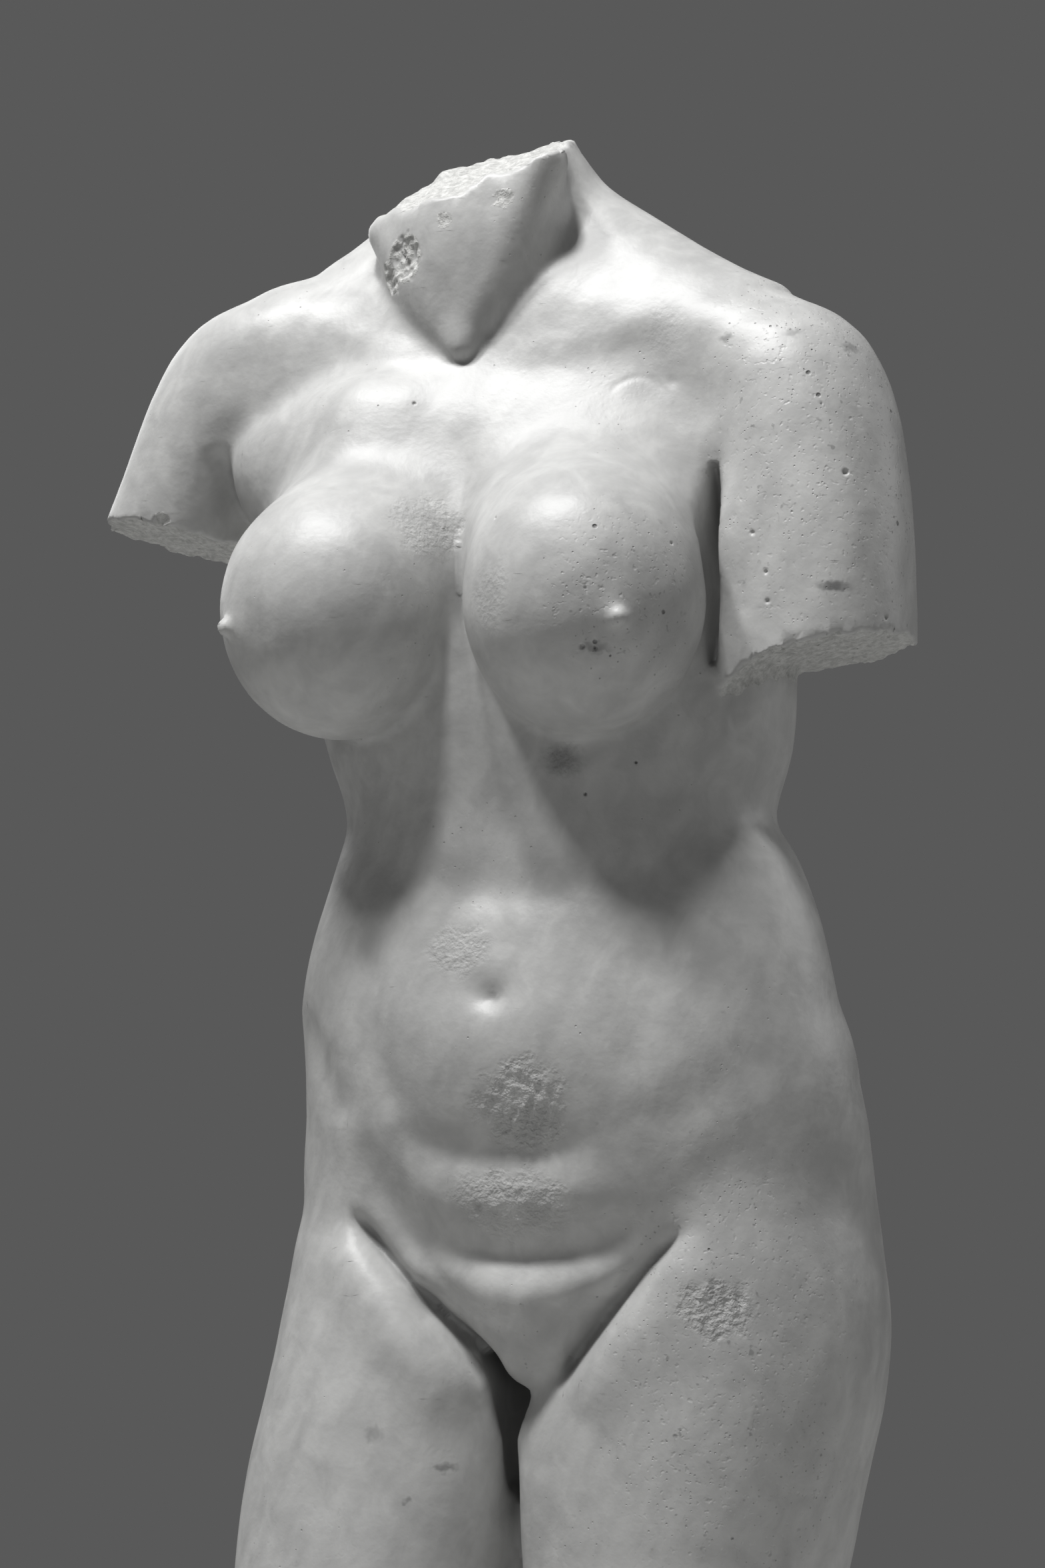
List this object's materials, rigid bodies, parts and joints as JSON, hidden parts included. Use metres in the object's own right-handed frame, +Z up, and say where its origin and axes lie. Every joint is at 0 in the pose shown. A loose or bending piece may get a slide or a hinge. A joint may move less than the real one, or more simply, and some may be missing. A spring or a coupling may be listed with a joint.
{
  "type": "marble statue",
  "caption": "Antique marble torso of a standing nude woman, neck and upper arms broken off, weight on one leg, on a thin ground slab let into a low block.",
  "frame": {"origin": "centre of the base's underside", "axes": "+Z up; the figure faces -Y, and its own left side is at +X"},
  "size_m": [0.56, 0.44, 1.5962],
  "materials": {
    "marble": "worn satin polish, mottled grey patina, small pits",
    "base_stone": "finely tooled, matt"
  },
  "bodies": {
    "root": {"figure": "marble", "base": "base_stone"}
  },
  "joints": []
}
